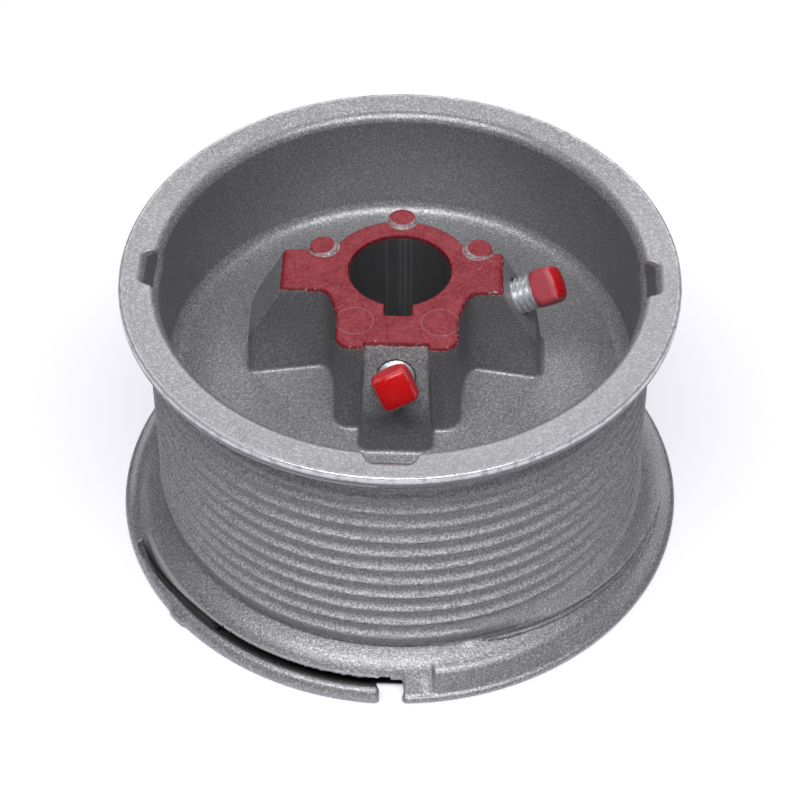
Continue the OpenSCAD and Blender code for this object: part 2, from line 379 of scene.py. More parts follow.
def rim_field(r, z):
    """The rim and the cone under it."""
    slope = RIM_CONE_H / (RIM_R - CREST_R)
    under = leaning(RIM_H - RIM_EDGE - (RIM_R - r) * slope - z, slope)
    return common(common(r - RIM_R, z - RIM_H, RIM_TOP_ROUND), under, RIM_CONE_ROUND)


def tool_notch(out, across, z):
    """A notch in the rim's mouth that opens towards the cup."""
    out_r = CUP_R + NOTCH_REACH
    half = NOTCH_HALF + (out_r - out) * NOTCH_FLARE / (2 * NOTCH_REACH)
    slope = leaning(RIM_H - z - out_r + out, 1)
    notch = common(np.abs(across) - half, slope, NOTCH_CORNER)
    return np.maximum(notch, CUP_R - NOTCH_REACH - out)


def lip_side(r, z):
    """The outer side of the lip, where the ramp ends too."""
    return leaning(z - LIP_H - (LIP_R - r) * LIP_SIDE_SLOPE, LIP_SIDE_SLOPE)


def lip_sink(ahead):
    """How far the lip has sunk into the skirt."""
    return LIP_SINK * eased(ahead, LIP_SINK_START, LIP_SINK_END)


def lip_field(x, y, z, r, ahead):
    """The lip on the skirt, from its blunt start beside the notch to where it sinks in."""
    top_slope = (cone_z(LIP_R - LIP_W) - LIP_H) / LIP_W
    top = leaning(z - LIP_H - (LIP_R - r) * top_slope, top_slope)
    lip = common(top, lip_side(r, z), LIP_EDGE) + lip_sink(ahead)
    out, along = math.cos(LIP_START), math.sin(LIP_START)
    start = np.where(x * out + y * along > 0, x * along - y * out, -2 * FAR)
    return common(lip, start, LIP_START_EDGE)


def ramp_edge(ahead):
    """Distance from the axis to the ramp's lower edge, its height there and the step below it."""
    share = (ahead - RAMP_START) / (RAMP_END - RAMP_START)
    edge = CREST_R + RAMP_RUN * np.clip(share, -RAMP_BEFORE, 1)
    step = STEP_H - STEP_LOSS * eased(ahead, RAMP_START, STEP_LOW)
    step = step * (1 - eased(ahead, RAMP_END, RAMP_FADE))
    return edge, SHELF_H - RAMP_SUNK - (edge - CREST_R) * RAMP_FALL + step, step


def ramp_field(r, ahead, z):
    """The ramp that takes the cable from the lowest groove down to the lip."""
    land = FIRST_RIDGE_Z - RAMP_LAND - PITCH * ahead / FULL_TURN - last_dip(ahead)
    edge, edge_z, _ = ramp_edge(ahead)
    fall = (land - edge_z) / (np.maximum(edge - CREST_R, 0) + RAMP_LEAST_RUN)
    ramp = (z - land + (r - CREST_R) * fall) / np.hypot(1, fall)
    ramp = common(ramp + lip_sink(ahead), lip_side(r, z), LIP_EDGE)
    return common(ramp, np.where(ahead < RAMP_FADE, r - edge, -FAR), RAMP_EDGE)


def crack_field(r, ahead, z):
    """The crack along the ramp's lower edge, which fades out where the ramp meets the lip."""
    edge, edge_z, step = ramp_edge(ahead)
    size = CRACK_R * eased(ahead, CRACK_START, CRACK_FULL)
    size = size * (1 - eased(ahead, RAMP_END, RAMP_FADE))
    line = np.hypot(r - edge - CRACK_OUT, z - edge_z + step) - size
    return np.where(ahead < RAMP_FADE, line, FAR)


def band_field(r, ahead, z):
    """The band of the foot in front of the slit."""
    top = FOOT_EDGE + (BAND_H - FOOT_EDGE) * eased(ahead, BAND_START, BAND_FULL)
    slope = leaning(z - top - (BAND_R - r) * BAND_SLOPE, BAND_SLOPE)
    return common(r - BAND_R, slope, BAND_EDGE)


def gate_field(r, ahead, z):
    """The stub of the casting's gate on the foot."""
    beside = np.abs(ahead - GATE_AHEAD) * FLANGE_R
    out = (GATE_OUT + GATE_IN) * eased(beside, GATE_HALF, GATE_HALF / 2)
    gate = common(r - (FLANGE_R - GATE_IN + out), z - GATE_H, GATE_EDGE)
    return np.maximum(gate, beside - 2 * GATE_HALF)


def flange_field(x, y, z, r, ahead):
    """The anchor flange without its notch and slit."""
    shelf = leaning(z - SHELF_H + (r - CREST_R) * SHELF_SLOPE, SHELF_SLOPE)
    solid = common(leaning(z - cone_z(r), CONE_RISE), shelf, SHELF_EDGE)
    solid = joined(solid, lip_field(x, y, z, r, ahead), LIP_FILLET)
    solid = joined(solid, ramp_field(r, ahead, z), RAMP_FILLET)
    foot_r = FLANGE_R - FOOT_ROUND
    foot = np.hypot(r - foot_r, z - FOOT_ROUND) - FOOT_ROUND
    solid = joined(np.maximum(solid, r - foot_r), foot, FOOT_FILLET)
    solid = joined(solid, band_field(r, ahead, z), BAND_FILLET)
    return joined(solid, gate_field(r, ahead, z), GATE_FILLET)


def slit_edge(ahead):
    """Distance from the axis to the skirt's edge, which runs out at the slit's far end."""
    return SLIT_R + SLIT_FLARE * (1 - eased(ahead, SLIT_FAR, SLIT_TURN))


def skirt_pocket(x, r, ahead, z):
    """The space under the skirt beside the slit, which takes the cable's end."""
    edge = slit_edge(ahead)
    under = leaning(z - cone_z(r), CONE_RISE) + SKIRT_EDGE + SKIRT_GROWTH * (edge - r)
    side = np.maximum(r - edge - POCKET_OVER, FOOT_IN - POCKET_IN - r)
    far_end = (POCKET_FAR - ahead) * r * POCKET_FAR_SLOPE
    sector = np.where(ahead > math.pi, far_end, x - CABLE_NOTCH_HALF)
    sector = np.where((ahead < math.pi) & (ahead > POCKET_NEAR), FAR, sector)
    return np.maximum(np.maximum(under, side), sector)


def slit_field(x, r, ahead, z):
    """The slit beside the cable notch, under the skirt's roughly trimmed edge."""
    edge = slit_edge(ahead)
    rough = sum(size * np.sin(ahead * waves + shift) for size, waves, shift in TRIM_WAVES)
    inner = edge + rough * eased(ahead, TRIM_START, TRIM_FULL)
    slit = np.maximum(np.maximum(inner - r, r - edge - SLIT_W), z - FLANGE_H)
    depth = SLIT_SHALLOW + SLIT_DEEPER * eased(ahead, SLIT_TURN, SLIT_FULL)
    slit = np.maximum(slit, cone_z(r) - depth - z)
    sector = np.where(ahead > math.pi, (SLIT_FAR - ahead) * r, FAR)
    return np.maximum(np.maximum(slit, x), sector)


def cable_notch(x, y, z, r):
    """The notch through the foot at the front."""
    notch = common(np.abs(x) - CABLE_NOTCH_HALF, SLIT_R - r, CABLE_NOTCH_CORNER)
    return np.where(y < 0, np.maximum(notch, z - FLANGE_H), FAR)


def hub_field(x, y, z, r):
    """The hub without its bore and its screw holes."""
    below = np.clip(HUB_H - z, 0, HUB_H - FLOOR_H)
    grow = HUB_DRAFT * below
    # Round faces have a third of the draft
    round_grow = grow / 3
    barrel = r - HUB_R - round_grow

    arm_side = np.abs(y) - ARM_HALF - grow
    blank = common(arm_side, -x - BLANK_REACH - SEAT_RUN - grow, BOSS_CORNER)
    blank = common(blank, seat_plane(-x, z, BLANK_REACH), BLANK_SEAT_EDGE)
    end = END_DRAFT * np.clip(HUB_H - SEAT_H - z, 0, HUB_H - SEAT_H - FLOOR_H)
    side = common(arm_side, x - ARM_REACH - SEAT_RUN - grow - end, BOSS_CORNER)
    side = common(side, seat_plane(x, z, ARM_REACH), SIDE_SEAT_EDGE)
    arms = np.where(x < 0, blank, side)

    front_seat = seat_plane(-y, z, FRONT_REACH)
    front_side = np.abs(x) - FRONT_HALF - BOSS_DRAFT * below
    front = common(front_side, -y - FRONT_REACH - SEAT_RUN - grow, BOSS_CORNER)
    front = common(front, front_seat, FRONT_SEAT_EDGE)
    block = common(np.abs(x) - BLOCK_HALF - grow, -y - BLOCK_REACH - grow, BLOCK_ROUND)
    block = np.maximum(joined(block, front, FRONT_FILLET), y)

    solid = joined(joined(barrel, arms, ARM_JOIN), block, ARM_FILLET)
    for pad_x, pad_y in BACK_PADS:
        column = np.hypot(x - pad_x, y - pad_y) - BACK_PAD_R - round_grow
        solid = joined(solid, column, BACK_PAD_FILLET)
    under = floor_z(BLANK_REACH + SEAT_RUN) - HUB_SINK - z
    solid = np.minimum(np.maximum(solid, under), barrel)
    solid = common(solid, z - HUB_H, HUB_EDGE)
    seat_groove = common(front_side, -front_seat, SEAT_GROOVE_CORNER)
    solid = cut(solid, seat_groove, SEAT_GROOVE_EDGE)
    for pad_x, pad_y in BACK_PADS:
        disc = np.hypot(x - pad_x, y - pad_y) - BACK_PAD_R
        pad = common(disc, z - HUB_H - BACK_PAD_H, BACK_PAD_EDGE)
        solid = joined(solid, np.maximum(pad, under), BACK_PAD_FOOT)
    return solid


def screw_hole(out, across, z, reach):
    """The tilted hole from a boss's seat into the bore."""
    beyond = out - reach - SCREW_REACH
    above = z - HUB_H + SCREW_DROP
    along = beyond * math.cos(TILT) + above * math.sin(TILT)
    rise = above * math.cos(TILT) - beyond * math.sin(TILT)
    return np.maximum(np.hypot(across, rise) - HOLE_R, -along - reach)


def drum_field(x, y, z):
    """The whole casting."""
    r = np.hypot(x, y)
    ahead = np.mod(np.arctan2(y, x) - FRONT_ANGLE, FULL_TURN)
    flange = flange_field(x, y, z, r, ahead)
    solid = joined(wall_field(r, ahead, z), flange, FLANGE_FILLET)
    solid = cut(solid, crack_field(r, ahead, z), CRACK_EDGE)
    solid = joined(solid, rim_field(r, z), RIM_FILLET)

    cup_side = r - FLOOR_R - WALL_DRAFT * (z - FLOOR_H) / (RIM_H - FLOOR_H)
    cup = common(cup_side, leaning(floor_z(r) - z, FLOOR_RISE), FLOOR_ROUND)
    solid = cut(solid, cup, CUP_EDGE + MOUTH_ROUND * eased(z, MOUTH_START, MOUTH_FULL))
    under_side = r - FLOOR_R - WALL_DRAFT * (FLOOR_H - WEB - z) / (FLOOR_H - WEB)
    under_skirt = leaning((r - FOOT_IN) * CONE_RISE + z, CONE_RISE)
    under_web = leaning(z - floor_z(r) + WEB, FLOOR_RISE)
    hollow = common(np.minimum(under_side, under_skirt), under_web, HOLLOW_ROUND)
    solid = cut(solid, hollow, HOLLOW_EDGE)
    solid = cut(solid, skirt_pocket(x, r, ahead, z), SLIT_EDGE)

    solid = joined(solid, hub_field(x, y, z, r), HUB_FILLET)
    key = np.maximum(common(np.abs(x) - KEY_HALF, -y - KEY_REACH, KEY_CORNER), y)
    solid = cut(solid, np.minimum(r - BORE_R, key), BORE_EDGE)
    for out, across, reach in ((x, y, ARM_REACH), (-y, x, FRONT_REACH)):
        solid = cut(solid, screw_hole(out, across, z, reach), HOLE_EDGE)
    for out, across in ((x, y), (-x, y), (-y, x)):
        solid = cut(solid, tool_notch(out, across, z), NOTCH_EDGE)
    solid = cut(solid, slit_field(x, r, ahead, z), SLIT_EDGE)
    solid = cut(solid, cable_notch(x, y, z, r), CABLE_NOTCH_EDGE)
    return common(solid, -z, FOOT_CORNER)


def screw_field(x, y, z):
    """A square-head set screw with its head above z = 0 and its thread and cup point below."""
    r = np.hypot(x, y)
    turns = z / THREAD_PITCH - np.arctan2(y, x) / FULL_TURN
    from_crest = np.abs(turns - np.round(turns)) * 2
    depth = THREAD_DEPTH * np.clip((from_crest - THREAD_CREST) / THREAD_FLANK, 0, 1)
    shank = np.maximum(THREAD_SCALE * (r - SCREW_R + THREAD_PLAY + depth), z - SHANK_TOP)
    shank = common(shank, -SCREW_L - z, POINT_ROUND)
    chamfer = (r - SCREW_R - SCREW_L - z) * POINT_CHAMFER_SCALE + POINT_CHAMFER
    shank = common(shank, chamfer, POINT_EDGE)
    shank = cut(shank, np.hypot(r, z + SCREW_L + POINT_CUP_BELOW) - POINT_CUP_R, POINT_EDGE)
    head = common(np.abs(x) - HEAD_HALF, np.abs(y) - HEAD_HALF, HEAD_CORNER)
    dome = np.hypot(r, z - HEAD_L + HEAD_DOME_R) - HEAD_DOME_R
    head = common(head, dome, HEAD_DOME_EDGE)
    back = leaning(r - HEAD_BACK_R - z * HEAD_BACK_SLOPE, HEAD_BACK_SLOPE)
    head = common(head, back, HEAD_BACK_EDGE)
    head = common(head, -z, HEAD_FOOT_EDGE)
    return joined(shank, head, HEAD_FILLET)


# Meshes of the fields

def sample(field, low, high, step):
    """Values of a field on a grid, worked out in slabs to save memory."""
    axes = [np.arange(a, b + step, step, dtype=np.float32) for a, b in zip(low, high)]
    x = axes[0][:, None, None]
    y = axes[1][None, :, None]
    slabs = []
    for z in np.array_split(axes[2], SLABS):
        slab = field(x, y, z[None, None, :])
        slabs.append(np.broadcast_to(slab, (len(axes[0]), len(axes[1]), len(z))))
    return np.concatenate(slabs, axis=2)


def surface(value, low, step):
    """Vertices and quads of the surface where the sampled value changes its sign."""
    inside = value < 0
    shape = [n - 1 for n in value.shape]
    corners = [np.array([i, j, k]) for i in (0, 1) for j in (0, 1) for k in (0, 1)]
    count = np.zeros(shape, np.uint8)
    for i, j, k in corners:
        count += inside[i:i + shape[0], j:j + shape[1], k:k + shape[2]]
    active = (count > 0) & (count < len(corners))
    cells = np.argwhere(active)
    index = np.zeros(shape, np.int64)
    index[active] = np.arange(len(cells))
    total = np.zeros(cells.shape)
    hits = np.zeros(len(cells))
    quads = []
    units = np.eye(3, dtype=int)
    for axis in range(3):
        unit, u, v = (units[(axis + turn) % 3] for turn in range(3))
        for corner in corners:
            if corner[axis]:
                continue
            a = value[tuple((cells + corner).T)]
            b = value[tuple((cells + corner + unit).T)]
            crosses = (a < 0) != (b < 0)
            share = a[crosses] / (a[crosses] - b[crosses])
            total[crosses] += cells[crosses] + corner + share[:, None] * unit
            hits += crosses
        moved = np.take(inside, range(1, value.shape[axis]), axis)
        kept = np.take(inside, range(value.shape[axis] - 1), axis)
        for rising in (True, False):
            edges = np.argwhere((kept != moved) & (kept == rising))
            ring = [index[tuple((edges - shift).T)] for shift in (0 * u, u, u + v, v)]
            quads.append(np.stack(ring if rising else ring[::-1], axis=1))
    return np.array(low) + step * total / hits[:, None], np.concatenate(quads)


def slope_of(field, points):
    """Unit outward normals of a field."""
    slope = np.stack([
        field(*(points + SLOPE_REACH * unit).T) - field(*(points - SLOPE_REACH * unit).T)
        for unit in np.eye(3)
    ], axis=1)
    return slope / np.maximum(np.linalg.norm(slope, axis=1, keepdims=True), LEAST_SLOPE)


def settled(field, points, step):
    """Points moved on to the field's surface."""
    for _ in range(SETTLE_ROUNDS):
        away = np.clip(field(*points.T), -step / 2, step / 2)
        points = points - away[:, None] * slope_of(field, points)
    return points


def thin_out(obj, triangles):
    """Decimate an object's quads to at most a number of triangles."""
    full = obj.data
    now = 2 * len(full.polygons)
    if now <= triangles:
        return
    name = full.name
    thin = obj.modifiers.new("thin", "DECIMATE")
    thin.ratio = triangles / now
    seen = obj.evaluated_get(bpy.context.evaluated_depsgraph_get())
    lean = bpy.data.meshes.new_from_object(seen)
    obj.modifiers.remove(thin)
    obj.data = lean
    bpy.data.meshes.remove(full)
    lean.name = name


def mesh_object(name, field, box, step, triangles, limits=None):
    """A closed mesh of a field, in metres, with the field's own normals, held inside the limits."""
    low, high = box
    points, quads = surface(sample(field, low, high, step), low, step)
    points = settled(field, points, step)
    mesh = bpy.data.meshes.new(name)
    mesh.from_pydata((points * MM).tolist(), [], quads.tolist())
    obj = bpy.data.objects.new(name, mesh)
    bpy.context.collection.objects.link(obj)
    thin_out(obj, triangles)
    mesh = obj.data
    points = np.empty(3 * len(mesh.vertices))
    mesh.vertices.foreach_get("co", points)
    points = settled(field, points.reshape(-1, 3) / MM, step / 2)
    if limits:
        points = np.clip(points, *limits)
    mesh.vertices.foreach_set("co", (points * MM).ravel())
    mesh.polygons.foreach_set("use_smooth", np.ones(len(mesh.polygons), bool))
    mesh.normals_split_custom_set_from_vertices(slope_of(field, points).tolist())
    mesh.update()
    return obj


# Materials

class Nodes:
    """Short calls for the nodes of one material."""

    def __init__(self, name):
        self.material = bpy.data.materials.new(name)
        self.material.use_nodes = True
        self.tree = self.material.node_tree
        self.shader = self.tree.nodes["Principled BSDF"]

    def put(self, socket, value):
        if isinstance(value, bpy.types.NodeSocket):
            self.tree.links.new(value, socket)
        else:
            socket.default_value = value

    def set(self, **values):
        """Put values on the shader's inputs, such as base_color."""
        for key, value in values.items():
            self.put(self.shader.inputs[key.replace("_", " ").title()], value)

    def new(self, kind, **settings):
        node = self.tree.nodes.new(kind)
        for key, value in settings.items():
            setattr(node, key, value)
        return node

    def math(self, operation, first, *others):
        """One operation on two values, or on more from left to right."""
        for other in others:
            node = self.new("ShaderNodeMath", operation=operation)
            self.put(node.inputs[0], first)
            self.put(node.inputs[1], other)
            first = node.outputs[0]
        return first

    def plus(self, *values):
        return self.math("ADD", *values)

    def minus(self, a, b):
        return self.math("SUBTRACT", a, b)

    def times(self, *values):
        return self.math("MULTIPLY", *values)

    def most(self, *values):
        return self.math("MAXIMUM", *values)

    def size_of(self, value):
        return self.math("ABSOLUTE", value, 0.0)

    def vector_math(self, operation, a, b):
        node = self.new("ShaderNodeVectorMath", operation=operation)
        self.put(node.inputs[0], a)
        self.put(node.inputs[1], b)
        return node.outputs

    def scaled(self, place, factors):
        return self.vector_math("MULTIPLY", place, factors)["Vector"]

    def distance(self, place, point=(0, 0, 0)):
        """Distance in metres from a point given in millimetres."""
        point = tuple(number * MM for number in point)
        return self.vector_math("DISTANCE", place, point)["Value"]

    def place(self):
        return self.new("ShaderNodeTexCoord").outputs["Object"]

    def split(self, vector):
        node = self.new("ShaderNodeSeparateXYZ")
        self.put(node.inputs[0], vector)
        return node.outputs

    def noise(self, place, size, detail=2.0, roughness=0.5):
        """Noise whose lumps are about size millimetres across."""
        node = self.new("ShaderNodeTexNoise")
        self.put(node.inputs["Vector"], place)
        node.inputs["Scale"].default_value = 1 / (size * MM)
        node.inputs["Detail"].default_value = detail
        node.inputs["Roughness"].default_value = roughness
        return node.outputs["Fac"]

    def ragged(self, value, place, size, reach):
        """A length that wanders by reach millimetres in all, in lumps of size millimetres."""
        wander = self.minus(self.noise(place, size, detail=3.0), 0.5)
        return self.plus(value, self.times(wander, reach * MM))

    def ramp(self, value, start, end, low=0.0, high=1.0):
        """Low before start, high after end and smooth between them."""
        node = self.new("ShaderNodeMapRange", interpolation_type="SMOOTHSTEP")
        inputs = ("Value", "From Min", "From Max", "To Min", "To Max")
        for key, number in zip(inputs, (value, start, end, low, high)):
            self.put(node.inputs[key], number)
        return node.outputs[0]

    def zone(self, length, start, end, low=0.0, high=1.0):
        """A ramp along a length, with its start and end in millimetres."""
        return self.ramp(length, start * MM, end * MM, low, high)

    def mix(self, share, a, b):
        """A colour between two."""
        node = self.new("ShaderNodeMix", data_type="RGBA")
        self.put(node.inputs["Factor"], share)
        self.put(node.inputs[6], a)
        self.put(node.inputs[7], b)
        return node.outputs[2]

    def blend(self, share, a, b):
        """A number between two."""
        node = self.new("ShaderNodeMix", data_type="FLOAT")
        self.put(node.inputs["Factor"], share)
        self.put(node.inputs[2], a)
        self.put(node.inputs[3], b)
        return node.outputs[0]

    def bump(self, height, size, strength):
        """Relief of size millimetres."""
        node = self.new("ShaderNodeBump")
        node.inputs["Strength"].default_value = strength
        node.inputs["Distance"].default_value = size * MM
        self.put(node.inputs["Height"], height)
        self.put(self.shader.inputs["Normal"], node.outputs[0])


def grey(level):
    """The slightly blue grey of cast aluminium."""
    return (level, level * 0.995, level * 1.045, 1.0)


CAST_DARK = grey(0.28)
CAST_LIGHT = grey(0.48)
# Pale metal, also used for painted glints and painted light
CAST_PALE_AND_HIGHLIGHT = grey(0.76)
# Worn metal, also used as painted highlight on the ridges
CAST_WORN_AND_HIGHLIGHT = grey(0.80)
# Painted shade for upright, shadowed and down-facing faces
CAST_SHADE = grey(0.14)
# Black for painted shadows, under the rim and in the slit
DEEP_SHADE = grey(0.04)
# Painted shade for the bore, where little light reaches
BORE_SHADE = grey(0.19)
PAINT_RED = (0.25, 0.009, 0.020, 1.0)
PAINT_PALE = (0.40, 0.052, 0.072, 1.0)
PAINT_EDGE = (0.21, 0.004, 0.010, 1.0)
HEAD_RED = (0.72, 0.006, 0.009, 1.0)
HEAD_DUST_AND_SHEEN = (0.46, 0.075, 0.10, 1.0)
HEAD_EDGE_HIGHLIGHT = (0.66, 0.30, 0.32, 1.0)
ZINC = (0.80, 0.82, 0.85, 1.0)
ZINC_DARK = (0.42, 0.43, 0.45, 1.0)

# How far each mark of the finish covers what is under it
GLINT_GRAIN_COVER = 0.8
CLOUD_COVER = 0.22
PIT_COVER = 0.3
UPRIGHT_SHADE_COVER = 0.42
UNDERSIDE_SHADE_COVER = 0.8
RIM_SHADOW_COVER = 0.85
RIM_SIDE_SHADE_COVER = 0.8
RIM_TOP_LIGHT_COVER = 0.25
RIM_SCUFF = 0.75
SLIT_SHADE_COVER = 0.97
TRIM_COVER = 0.7
PAINT_EDGE_COVER = 0.8
PAINT_EDGE_CHIPS = 0.10
PAINT_RIGHT_CHIPS = 0.05
PAD_SCUFF = 0.4
PAD_LINE_COVER = 0.4
BARE_COVER = 0.85
HEAD_RUB_HIGHLIGHT_COVER = 0.35

# Metal, roughness and relief of the surfaces
CAST_METAL = 0.5
DULL_METAL = 0.2
ZINC_METAL = 0.6
CAST_ROUGH = (0.32, 0.50)
WORN_ROUGH = 0.26
MATT_ROUGH = 0.95
PAINT_ROUGH = 0.6
ZINC_ROUGH = 0.34
HEAD_ROUGH = (0.20, 0.30)
FLANK_ROUGH = 0.5
GRAIN_RELIEF = 0.7
FINE_RELIEF = 0.3
COVERED_RELIEF = 0.35
HEAD_FINE_RELIEF = 0.25

# Where the finish changes: starts and ends in millimetres
BORE_ZONE = (BORE_R + 0.9, BORE_R + 0.2)
KEY_SIDE_ZONE = (KEY_HALF + 0.7, KEY_HALF + 0.1)
KEY_END_ZONE = (-(KEY_REACH + 0.7), -(KEY_REACH + 0.1))
KEY_FRONT_ZONE = (0.0, -1.0)
CUP_SIDE_ZONE = (CUP_R + 0.3, CUP_R)
CUP_FLOOR_ZONE = (FLOOR_H - 2, FLOOR_H)
WALL_FOOT_ZONE = (9, 11)
WALL_TOP_ZONE = (75, 73)
WALL_SIDE_ZONE = (CREST_R + 0.6, CREST_R + 0.2)
OUTSIDE_ZONE = (ROOT_R - 0.9, ROOT_R - 0.5)
TO_FRONT_ZONE = (-12, -54)
BELOW_RIM_ZONE = (RIM_H - 12.4, RIM_H - 11.4)
RIM_SIDE_FOOT_ZONE = (RIM_H - 9, RIM_H - 7.5)
RIM_SIDE_TOP_ZONE = (RIM_H - 1.1, RIM_H - 1.8)
RIM_TOP_ZONE = (RIM_H - 0.6, RIM_H - 0.2)
RIM_TOP_IN_ZONE = (62.5, 64)
RIM_BACK_ZONE = (60, 10)
RIM_EDGE_ZONE = (RIM_R - 1.4, RIM_R - 0.6)
RIM_EDGE_FOOT_ZONE = (RIM_H - 2.0, RIM_H - 1.1)
SLIT_IN_ZONE = (SLIT_R - 0.6, SLIT_R - 0.1)
SLIT_OUT_ZONE = (SLIT_R + 2.7, SLIT_R + 2.0)
SLIT_TOP_ZONE = (4.7, 4.2)
SLIT_LEFT_ZONE = (-2.6, -3.4)
SLIT_FRONT_ZONE = (-20, -30)
TRIM_IN_ZONE = (SLIT_R - 0.5, SLIT_R - 0.2)
TRIM_OUT_ZONE = (SLIT_R + 0.6, SLIT_R + 0.4)
TRIM_FOOT_ZONE = (4.5, 4.8)
HUB_ZONE = (46, 45)
PAINT_FOOT_ZONE = (HUB_H - 1.3, HUB_H - 1.0)
PAINT_RIGHT_ZONE = (6, 14)
CRESCENT_SHIFT = 0.7
CRESCENT_IN_ZONE = (3.2, 3.5)
CRESCENT_OUT_ZONE = (4.2, 3.9)
PAD_LINE_HALF = 0.25
HEAD_PAINT_ZONE = (-0.1, 0.2)


class Spot:
    """Where a shaded point lies on the casting."""

    def __init__(self, n):
        self.place = n.place()
        self.x, self.y, self.z = n.split(self.place)
        self.up = n.split(n.new("ShaderNodeNewGeometry").outputs["Normal"])[2]
        flat = n.new("ShaderNodeCombineXYZ")
        n.put(flat.inputs[0], self.x)
        n.put(flat.inputs[1], self.y)
        self.plan = flat.outputs[0]
        self.r = n.distance(self.plan)
        self.outside = n.zone(self.r, *OUTSIDE_ZONE)


def sand_colour(n, at, grain):
    """Bare casting: light and dark grains with pale grains that also stand in as painted glints,
    clouds and pits.
    """
    cloud = n.noise(at.place, size=14, detail=3.0)
    glint_grains = n.ramp(grain, 0.56, 0.70)
    pits = n.ramp(n.noise(at.place, size=1.4), 0.28, 0.38, low=1.0, high=0.0)
    colour = n.mix(n.ramp(grain, 0.34, 0.62), CAST_DARK, CAST_LIGHT)
    # Pale grains: partly the sand's tone, partly painted glints of the lamps
    colour = n.mix(n.times(glint_grains, GLINT_GRAIN_COVER), colour, CAST_PALE_AND_HIGHLIGHT)
    colour = n.mix(n.ramp(cloud, 0.3, 0.7, high=CLOUD_COVER), colour, CAST_DARK)
    return n.mix(n.times(pits, PIT_COVER), colour, CAST_DARK)


def bore_finish(n, at, colour):
    """The bore and its keyway get painted shade, streaked along the shaft."""
    streak = n.noise(n.scaled(at.place, (1.0, 1.0, 0.04)), size=0.9)
    in_bore = n.zone(at.r, *BORE_ZONE)
    in_key = n.times(n.zone(n.size_of(at.x), *KEY_SIDE_ZONE),
                     n.zone(at.y, *KEY_END_ZONE), n.zone(at.y, *KEY_FRONT_ZONE))
    # Painted shade in the bore and keyway
    dark = n.times(n.most(in_bore, in_key), n.ramp(streak, 0.3, 0.7, low=0.96, high=0.90))
    return n.mix(dark, colour, BORE_SHADE)


def cup_finish(n, at, colour):
    """The cup's and the hub's upright faces are darkened with painted shade."""
    in_cup = n.times(n.zone(at.r, *CUP_SIDE_ZONE), n.zone(at.z, *CUP_FLOOR_ZONE))
    # Painted shade: upright faces darker than the lit tops
    upright_shade = n.times(in_cup, n.ramp(at.up, 0.40, 0.15, high=UPRIGHT_SHADE_COVER))
    return n.mix(upright_shade, colour, CAST_SHADE)


def winding_finish(n, at, colour, grain):
    """Ridges' upward flanks brightened by wear and painted highlight, stronger towards the front;
    painted shade on down-facing faces and a painted shadow under the rim; also the masks of the dull
    wall and of that shadow.
    """
    on_wall = n.times(n.zone(at.z, *WALL_FOOT_ZONE), n.zone(at.z, *WALL_TOP_ZONE),
                      at.outside, n.zone(at.r, *WALL_SIDE_ZONE))
    # Painted shade on the wall, darker away from the front where the lamps reach less
    wall_shade = n.times(on_wall, n.zone(at.y, *TO_FRONT_ZONE, low=0.46, high=0.22))
    colour = n.mix(wall_shade, colour, CAST_SHADE)
    # Upward-facing ridge flanks: wear and painted highlight from the lamp above, stronger towards the
    # front
    crown = n.times(on_wall, n.ramp(at.up, 0.42, 0.70))
    rubbed_and_lit = n.times(n.ramp(grain, 0.40, 0.58, low=0.25), n.zone(at.y, *TO_FRONT_ZONE, low=0.35))
    colour = n.mix(n.times(crown, rubbed_and_lit), colour, CAST_WORN_AND_HIGHLIGHT)
    # Painted shade on down-facing faces under each ridge
    ridge_underside_shade = n.times(on_wall, n.ramp(at.up, 0.16, -0.10, high=UNDERSIDE_SHADE_COVER))
    colour = n.mix(ridge_underside_shade, colour, CAST_SHADE)
    # Painted shadow of the rim on the top of the winding
    rim_shadow = n.times(on_wall, n.zone(at.z, *BELOW_RIM_ZONE, high=RIM_SHADOW_COVER))
    return n.mix(rim_shadow, colour, DEEP_SHADE), n.minus(on_wall, crown), rim_shadow


def rim_finish(n, at, colour, scuff):
    """The rim's side and the cone under it get painted shade and its top painted light towards the
    front; also the mask of its worn edge.
    """
    # Painted shade on the rim's side and the cone under it
    side = n.times(n.zone(at.z, *RIM_SIDE_FOOT_ZONE),
                   n.zone(at.z, *RIM_SIDE_TOP_ZONE, high=RIM_SIDE_SHADE_COVER))
    colour = n.mix(n.times(side, at.outside), colour, CAST_SHADE)
    # Painted light on the rim's top, fading towards the back
    top = n.times(n.zone(at.z, *RIM_TOP_ZONE), n.zone(at.r, *RIM_TOP_IN_ZONE))
    top = n.times(top, n.zone(at.y, *RIM_BACK_ZONE, high=RIM_TOP_LIGHT_COVER))
    colour = n.mix(top, colour, CAST_PALE_AND_HIGHLIGHT)
    edge = n.times(n.zone(at.r, *RIM_EDGE_ZONE), n.zone(at.z, *RIM_EDGE_FOOT_ZONE))
    worn = n.times(edge, n.blend(RIM_SCUFF, 1.0, scuff))
    return n.mix(worn, colour, CAST_WORN_AND_HIGHLIGHT), worn


